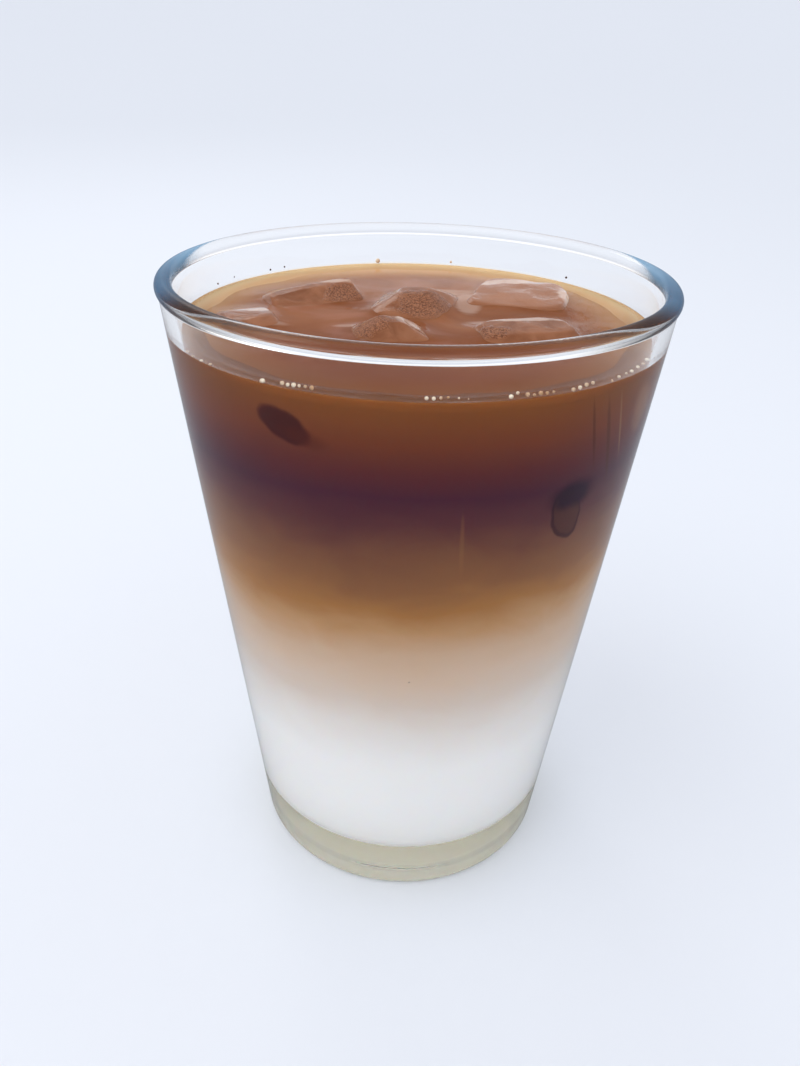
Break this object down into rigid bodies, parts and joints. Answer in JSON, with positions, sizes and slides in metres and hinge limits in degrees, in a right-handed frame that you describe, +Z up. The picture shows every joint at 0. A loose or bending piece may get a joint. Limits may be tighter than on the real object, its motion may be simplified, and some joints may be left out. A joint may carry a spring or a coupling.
{
  "type": "iced coffee in a glass tumbler",
  "caption": "Iced coffee with milk layers and floating ice in a tapered clear glass tumbler with a thick base.",
  "frame": {"origin": "centre of the tumbler's foot, on the surface that it stands on", "axes": "+Z up along the tumbler's axis; -Y is the front that the picture shows"},
  "size_m": [0.088, 0.088, 0.119],
  "materials": {
    "clear_glass": "clear, polished",
    "coffee": "dark brown liquid, glossy",
    "coffee_with_milk": "tan liquid, glossy",
    "milk": "white liquid, glossy",
    "ice": "melting ice, wet"
  },
  "bodies": {
    "root": {"tumbler": "clear_glass", "milk_layer": "milk", "blend_layer": "coffee_with_milk", "coffee_layer": "coffee", "ice_wedge": "ice", "ice_sliver": "ice", "ice_peak": "ice", "ice_broad": "ice", "ice_front": "ice", "ice_right": "ice"}
  },
  "joints": []
}
